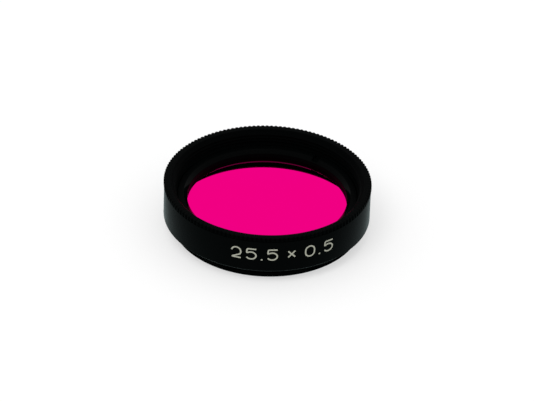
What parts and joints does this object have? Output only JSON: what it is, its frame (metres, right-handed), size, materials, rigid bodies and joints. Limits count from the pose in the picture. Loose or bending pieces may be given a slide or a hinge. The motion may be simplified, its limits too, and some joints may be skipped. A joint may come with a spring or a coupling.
{
  "type": "optical bandpass filter",
  "caption": "Screw-in round optical bandpass filter: a coated glass disc held by a slotted retaining ring in a black ring with a knurled rim and a threaded collar.",
  "frame": {"origin": "centre of the collar's rear face, on the optical axis", "axes": "+Z along the optical axis, from the rear male thread to the front rim; -Y towards the marked side of the wall"},
  "size_m": [0.0282, 0.0282, 0.0071],
  "materials": {
    "anodised_ring": "black anodised, satin",
    "coated_glass": "polished, with an interference coating that reflects magenta",
    "anodised_retainer": "black anodised, matt"
  },
  "bodies": {
    "root": {"mount_ring": "anodised_ring", "filter_glass": "coated_glass", "retaining_ring": "anodised_retainer"}
  },
  "joints": []
}
